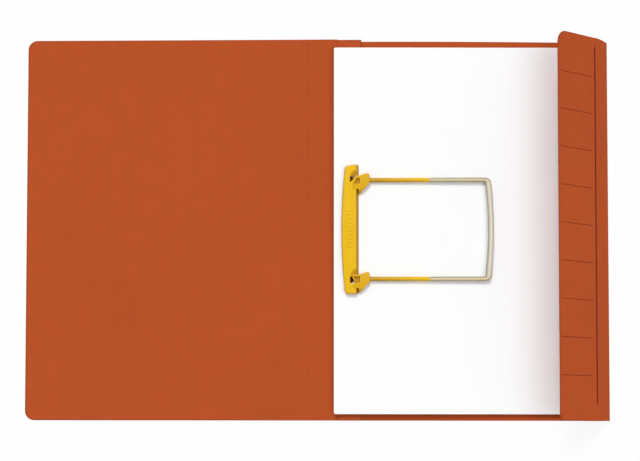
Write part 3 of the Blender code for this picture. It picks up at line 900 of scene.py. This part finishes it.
class CLIPFOLDER_OT_bar(Operator):
    """Build the moulded clip bar with its hinge slots, windows and grip ribs"""

    bl_idname = "clip_folder.bar"
    bl_label = "Clip bar"

    LEFT_STEPS = 24
    # Corner radii: lower right, upper right, upper left, lower left
    CORNERS = (0.0014, 0.0014, 0.0024, 0.0024)
    # Rounding of the foot as a share of the upper edges', and of a rib as a share of its height
    FOOT_ROUND = 0.2
    RIB_ROUND = 0.8
    # Middle of the ribs, from the bar's left side and from its middle
    RIB_PLACE = (0.0059, 0.0007)

    def execute(self, context):
        clip = context.scene.clip_folder_clip
        low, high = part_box("clip_bar")
        piece = make_piece("moulded_bar", self.body(clip, low, high), painted(yellow_moulding))
        for side in SIDES:
            hinge = hinge_point(side)
            cut(piece, self.scoop(hinge, high.z), prism(hinge, SLOT), prism(hinge, WINDOWS[side]))
        combine(piece, self.ribs(clip, low, high), "UNION", RIB_SHARP)
        # Painted shade on the bar's walls, scoops and slot sides, darker with depth
        paint_shade_by_depth(piece, high.z)
        hand_over(piece, "rear_section", "clip_bar")
        return {"FINISHED"}

    def body(self, clip, low, high):
        """Return the bar without its cuts: bowed on the left, its walls leaning in."""
        bottom, top = low.y + clip.bar_trim[0], high.y - clip.bar_trim[1]
        left, right = low.x - clip.bar_flare[0], high.x + clip.bar_flare[1]
        middle, half = (low.y + high.y) / 2, (high.y - low.y) / 2
        centre = (left + right) / 2
        outline = [(right, bottom), (right, top)]
        for y in evenly(top - clip.bar_slant, bottom, self.LEFT_STEPS):
            outline.append((left + clip.bar_bulge * ((y - middle) / half) ** 2, y))
        shape, points = flat_face(outline, low.z)
        round_corners(shape, (*points[:3], points[-1]), self.CORNERS)
        thicken(shape, high.z - low.z)
        for vert in shape.verts:
            if vert.co.z > high.z - TINY:
                lean = clip.bar_lean[1 if vert.co.x > centre else 0]
                vert.co.x -= lean * (vert.co.x - centre) / (right - centre)
        soften(shape, flat_edges(shape, high.z), clip.bar_edge, steps=3)
        soften(shape, flat_edges(shape, low.z), self.FOOT_ROUND * clip.bar_edge, steps=1)
        return shape

    def scoop(self, hinge, top):
        """Return the ball that hollows the bar above a slot."""
        shape = bmesh.new()
        radius = (SCOOP_WIDTH ** 2 + SCOOP_DEPTH ** 2) / (2.0 * SCOOP_DEPTH)
        place = hinge + Vector((*SCOOP_PLACE, 0.0))
        place.z = top + radius - SCOOP_DEPTH
        bmesh.ops.create_uvsphere(
            shape, u_segments=2 * ROUND_SIDES, v_segments=ROUND_SIDES,
            radius=radius, matrix=Matrix.Translation(place))
        return shape

    def ribs(self, clip, low, high):
        """Return the plain grip ribs at the middle of the bar."""
        shape = bmesh.new()
        x = low.x + self.RIB_PLACE[0]
        middle = (low.y + high.y) / 2 + self.RIB_PLACE[1]
        size = (clip.rib_length, clip.rib_width, 2.0 * clip.rib_height)
        for index in range(clip.rib_count):
            y = middle + clip.rib_pitch * (index - (clip.rib_count - 1) / 2)
            place = Matrix.Translation((x, y, high.z)) @ Matrix.Diagonal((*size, 1.0))
            bmesh.ops.create_cube(shape, size=1.0, matrix=place)
        tops = flat_edges(shape, high.z + clip.rib_height)
        soften(shape, tops, self.RIB_ROUND * clip.rib_height, steps=2)
        return shape


class CLIPFOLDER_OT_arms(Operator):
    """Build the two hinged arms: tongue, bracket and hollow tube"""

    bl_idname = "clip_folder.arms"
    bl_label = "Tube arms"

    RIM_ROUND = 0.00013
    # Rounding of the tongue's nose as a share of the arm's half height
    NOSE_ROUND = 0.96
    NOSE_STEPS = 6
    TUBE_LIP = 0.0002

    def execute(self, context):
        for side in SIDES:
            hinge = hinge_point(side)
            piece = make_piece(f"{side}_tube_arm", self.bracket(hinge), painted(yellow_moulding))
            combine(piece, self.tube(hinge), "UNION")
            cut(piece, prism(hinge, POCKETS[side], POCKET_FLOOR), prism(hinge, WINDOWS[side]))
            # Painted shade on the arm's walls and pocket, and the least shade over its bracket and tongue
            reach = hinge.x + BRACKET[1][0] + TINY
            paint_shade_by_depth(piece, hinge.z + ARM_HALF_HEIGHT, ARM_LEAST_SHADE, reach)
            hand_over(piece, f"{side}_arm", f"{side}_tube")
        return {"FINISHED"}

    def bracket(self, hinge):
        """Return the bracket with its sloping toe, and its tongue with a nose round the hinge."""
        nose = -ARM_HALF_HEIGHT
        root, toe = BRACKET[0]
        outline = ((nose, TONGUE_HIGH), (nose, TONGUE_LOW), (root, TONGUE_LOW), *BRACKET)
        shape, corners = flat_face(outline, -ARM_HALF_HEIGHT)
        round_corners(shape, corners[3:7], BRACKET_RADII)
        thicken(shape, 2.0 * ARM_HALF_HEIGHT)

        def on_nose(edge):
            return all(abs(vert.co.x - nose) < TINY for vert in edge.verts)

        rims = [edge for edge in flat_edges(shape) if not on_nose(edge)]
        soften(shape, rims, self.RIM_ROUND, steps=2)
        tip = [edge for edge in flat_edges(shape) if on_nose(edge)]
        soften(shape, tip, self.NOSE_ROUND * ARM_HALF_HEIGHT, self.NOSE_STEPS)
        cut_lines(shape, 1, evenly(TOE_START, toe, TOE_STEPS))
        for vert in shape.verts:
            if vert.co.z > 0.0 and vert.co.y < TOE_START:
                vert.co.z -= TOE_FALL * (vert.co.y - TOE_START) / (toe - TOE_START)
        bmesh.ops.translate(shape, verts=shape.verts, vec=hinge)
        return shape

    def tube(self, hinge):
        """Return the hollow tube with its rounded mouth."""
        lip = self.TUBE_LIP
        profile = (
            (TUBE_START, 0.0),
            (TUBE_START, TUBE_RADIUS),
            (TUBE_END - lip, TUBE_RADIUS),
            (TUBE_END, TUBE_RADIUS - lip),
            (TUBE_END, BORE_RADIUS + lip / 2),
            (TUBE_END - lip, BORE_RADIUS),
            (BORE_START, BORE_RADIUS),
            (BORE_START, 0.0),
        )
        shape = bmesh.new()
        points = [shape.verts.new((x, 0.0, radius)) for x, radius in profile]
        edges = [shape.edges.new(pair) for pair in zip(points, points[1:])]
        bmesh.ops.spin(
            shape, geom=points + edges, cent=(0.0, 0.0, 0.0), axis=(1.0, 0.0, 0.0),
            angle=2.0 * math.pi, steps=ROUND_SIDES, use_merge=True)
        bmesh.ops.remove_doubles(shape, verts=shape.verts, dist=TINY)
        bmesh.ops.recalc_face_normals(shape, faces=shape.faces)
        bmesh.ops.translate(shape, verts=shape.verts, vec=hinge)
        return shape


class CLIPFOLDER_OT_bow(Operator):
    """Build the pull-out bow whose two pins slide in the tubes"""

    bl_idname = "clip_folder.bow"
    bl_label = "Bow"

    SECTION_SIDES = 24
    CORNER_TURNS = 6
    HALF_BAR_STEPS = 12
    # Distance from the hinge and radius along a pin and its leg
    LEG = (
        (PIN_START, 0.45 * PIN_RADIUS),
        (PIN_START + 0.0002, 0.8 * PIN_RADIUS),
        (PIN_START + 0.0006, PIN_RADIUS),
        (LEG_START - 0.0001, PIN_RADIUS),
        (LEG_START, 0.78 * TUBE_RADIUS),
        (LEG_START + 0.0006, 0.93 * TUBE_RADIUS),
        (LEG_START + 0.0014, TUBE_RADIUS),
        (BOW_CORNER_X - 0.008, TUBE_RADIUS),
    )
    CORNER_RADIUS = 1.06 * TUBE_RADIUS
    BAR_RADIUS = 1.1 * TUBE_RADIUS
    # Share of the faceted section at the ends of the crossbar, and how fast it grows to all
    END_SHARE = 0.6
    SHARE_GROWTH = 6.0
    # Half-spaces of the crossbar's section: direction across and up, and reach in metres
    FACETS = (
        ((0.0, -1.0), 0.0018),
        ((-1.0, 0.0), 0.0025),
        ((1.0, 0.0), 0.00215),
        ((-0.42, 0.91), 0.0017),
        ((0.30, 0.95), 0.0017),
        ((-0.8, -0.6), 0.00215),
        ((0.8, -0.6), 0.00215),
    )
    # Where the painted shade on the section's sides starts and how far it runs, how much wider
    # it is on the side that faces up the folder, and its strength on the other sides
    TONE_START = 0.45
    TONE_RUN = 0.4
    TONE_FACING = 0.5
    TONE_LEAST = 0.7

    def execute(self, context):
        shape = bmesh.new()
        warm = shape.verts.layers.float.new("warm")
        deep_shade = shape.verts.layers.float.new("deep_shade")
        slot = shape.verts.layers.int.new("slot")
        cap = None
        for station in self.stations():
            ring = self.ring(*station)
            if cap is None:
                for index, point in enumerate(ring):
                    shape.verts.new(point)[slot] = index
                cap = shape.faces.new(shape.verts)
            else:
                extruded = bmesh.ops.extrude_face_region(shape, geom=[cap, *cap.edges])["geom"]
                cap = next(item for item in extruded if isinstance(item, bmesh.types.BMFace))
            for vert in cap.verts:
                side = math.cos(2.0 * math.pi * vert[slot] / self.SECTION_SIDES)
                facing = max(0.0, side * math.cos(station[1]))
                vert.co = ring[vert[slot]]
                vert[warm] = 1.0 - station[3]
                # Painted shade along the sides of the bow, wider and stronger on the side facing up the
                # folder
                start = self.TONE_START - self.TONE_FACING * facing
                tone = self.TONE_LEAST + (1.0 - self.TONE_LEAST) * facing
                vert[deep_shade] = tone * smooth_step((abs(side) - start) / self.TONE_RUN)
        shape.verts.layers.int.remove(slot)
        bmesh.ops.recalc_face_normals(shape, faces=shape.faces)
        middle = (hinge_point("upper") + hinge_point("lower")) / 2
        bmesh.ops.translate(shape, verts=shape.verts, vec=middle)
        piece = make_piece("pull_bow", shape, painted(natural_moulding), BOW_SHARP)
        hand_over(piece, "bow", "clip_bow")
        return {"FINISHED"}

    def stations(self):
        """Return place, heading, radius, share of the crossbar's section and spread in turn."""
        half = (hinge_point("upper").y - hinge_point("lower").y) / 2
        found = [(Vector((x, half)), 0.0, radius, 0.0, 1.0) for x, radius in self.LEG]
        reach = half - BOW_CORNER
        centre = Vector((BOW_CORNER_X - BOW_CORNER, reach))
        for along in evenly(0.0, 1.0, self.CORNER_TURNS):
            turn = math.pi / 2 * along
            place = centre + BOW_CORNER * Vector((math.sin(turn), math.cos(turn)))
            ease = smooth_step(along)
            section = (self.CORNER_RADIUS, self.END_SHARE * ease, 1.0 + BOW_SPREAD * ease)
            found.append((place, turn, *section))
        for along in evenly(1.0, 0.0, self.HALF_BAR_STEPS)[1:]:
            place = Vector((BOW_CORNER_X + BOW_BULGE * (1.0 - along ** 2), reach * along))
            lean = math.atan(2.0 * BOW_BULGE * along / reach)
            ease = smooth_step((1.0 - along) * self.SHARE_GROWTH)
            share = self.END_SHARE + (1.0 - self.END_SHARE) * ease
            spread = 1.0 + BOW_SPREAD * smooth_step(2.0 * along - 1.0)
            found.append((place, math.pi / 2 - lean, self.BAR_RADIUS, share, spread))
        mirrored = [
            (Vector((place.x, -place.y)), math.pi - turn, *section)
            for place, turn, *section in found[-2::-1]
        ]
        return found + mirrored

    def ring(self, place, turn, radius, share, spread):
        """Return the points of one section of the bow."""
        across = Vector((math.sin(turn), math.cos(turn), 0.0))
        points = []
        for index in range(self.SECTION_SIDES):
            angle = 2.0 * math.pi * index / self.SECTION_SIDES
            side, rise = math.cos(angle), math.sin(angle)
            facet = min(
                reach / (side * x + rise * z)
                for (x, z), reach in self.FACETS if side * x + rise * z > TINY)
            length = radius + (facet - radius) * share
            middle = Vector((*place, length * rise))
            points.append(middle + across * (length * side * spread))
        return points


class CLIPFOLDER_OT_hidden(Operator):
    """Give the glue lines and the anchor between the boards their materials"""

    bl_idname = "clip_folder.hidden"
    bl_label = "Glue and anchor"

    def execute(self, context):
        paints = {
            "glue_line_left": dried_glue,
            "glue_line_right": dried_glue,
            "clip_anchor": natural_moulding,
        }
        for name, paint in paints.items():
            materials = frame["nodes"][name].data.materials
            materials.clear()
            materials.append(painted(paint))
        return {"FINISHED"}


class CLIPFOLDER_OT_stage(Operator):
    """Set up the floor, the light and the camera"""

    bl_idname = "clip_folder.stage"
    bl_label = "Stage"

    FLOOR_SIDE = 8.0
    FLOOR_DROP = 0.0003
    CLIP_END = 100.0

    def execute(self, context):
        scene = context.scene
        stage = scene.clip_folder_stage
        scene.view_settings.view_transform = "Standard"
        self.add_floor()
        self.add_light(scene, stage)
        camera = bpy.data.cameras.new("camera")
        camera.lens = stage.lens
        camera.clip_end = self.CLIP_END
        holder = bpy.data.objects.new("camera", camera)
        holder.location = stage.place
        holder.rotation_mode = "YXZ"
        holder.rotation_euler = stage.tilt
        scene.collection.objects.link(holder)
        scene.camera = holder
        return {"FINISHED"}

    def add_floor(self):
        """Lay a pale floor that keeps the folder's shadow."""
        shape = bmesh.new()
        place = Matrix.Translation((0.0, 0.0, -self.FLOOR_DROP))
        bmesh.ops.create_grid(
            shape, x_segments=1, y_segments=1, size=self.FLOOR_SIDE / 2, matrix=place)
        make_piece("floor", shape, painted(pale_floor))

    def add_light(self, scene, stage):
        """Light the folder from all round, from its top edge and, softly, from its right."""
        world = bpy.data.worlds.new("studio_dome")
        scene.world = world
        finish = Finish(world)
        level = stage.dome + (1.0 - stage.dome) * finish.seen()
        sky = finish.node("ShaderNodeBackground", None, {"Color": WHITE, "Strength": level})
        finish.node("ShaderNodeOutputWorld", None, {"Surface": sky})
        for name, level, height, side, spread in (
            ("key", stage.key, stage.key_height, stage.key_side, stage.key_spread),
            ("fill", stage.fill, stage.fill_height, -math.pi / 2, stage.fill_spread),
        ):
            lamp = bpy.data.lights.new(name, "SUN")
            lamp.angle = spread
            lamp.energy = level * math.pi / math.sin(height)
            holder = bpy.data.objects.new(name, lamp)
            holder.rotation_euler = (height - math.pi / 2, 0.0, side)
            scene.collection.objects.link(holder)


OPERATORS = (
    CLIPFOLDER_OT_cover,
    CLIPFOLDER_OT_rear,
    CLIPFOLDER_OT_flap,
    CLIPFOLDER_OT_sheets,
    CLIPFOLDER_OT_bar,
    CLIPFOLDER_OT_arms,
    CLIPFOLDER_OT_bow,
    CLIPFOLDER_OT_hidden,
    CLIPFOLDER_OT_stage,
)

SETTINGS = {
    "clip_folder_board": CLIPFOLDER_PG_board,
    "clip_folder_flap": CLIPFOLDER_PG_flap,
    "clip_folder_sheets": CLIPFOLDER_PG_sheets,
    "clip_folder_clip": CLIPFOLDER_PG_clip,
    "clip_folder_stage": CLIPFOLDER_PG_stage,
}


class CLIPFOLDER_PT_tools(Panel):
    """List the folder's pieces and their settings"""

    bl_label = "Clip folder"
    bl_idname = "CLIPFOLDER_PT_tools"
    bl_space_type = "VIEW_3D"
    bl_region_type = "UI"
    bl_category = "Clip folder"

    def draw(self, context):
        layout = self.layout
        for operator in OPERATORS:
            layout.operator(operator.bl_idname)
        for name, group in SETTINGS.items():
            box = layout.box()
            settings = getattr(context.scene, name)
            for setting in group.__annotations__:
                box.prop(settings, setting)


CLASSES = (*SETTINGS.values(), *OPERATORS, CLIPFOLDER_PT_tools)


def register():
    for made in CLASSES:
        bpy.utils.register_class(made)
    for name, group in SETTINGS.items():
        setattr(bpy.types.Scene, name, PointerProperty(type=group))


def unregister():
    for name in SETTINGS:
        delattr(bpy.types.Scene, name)
    for made in reversed(CLASSES):
        bpy.utils.unregister_class(made)


def main():
    register()
    bpy.ops.clip_folder.cover()
    bpy.ops.clip_folder.rear()
    bpy.ops.clip_folder.flap()
    bpy.ops.clip_folder.sheets()
    bpy.ops.clip_folder.bar()
    bpy.ops.clip_folder.arms()
    bpy.ops.clip_folder.bow()
    bpy.ops.clip_folder.hidden()
    bpy.ops.clip_folder.stage()


if __name__ == "__main__":
    main()
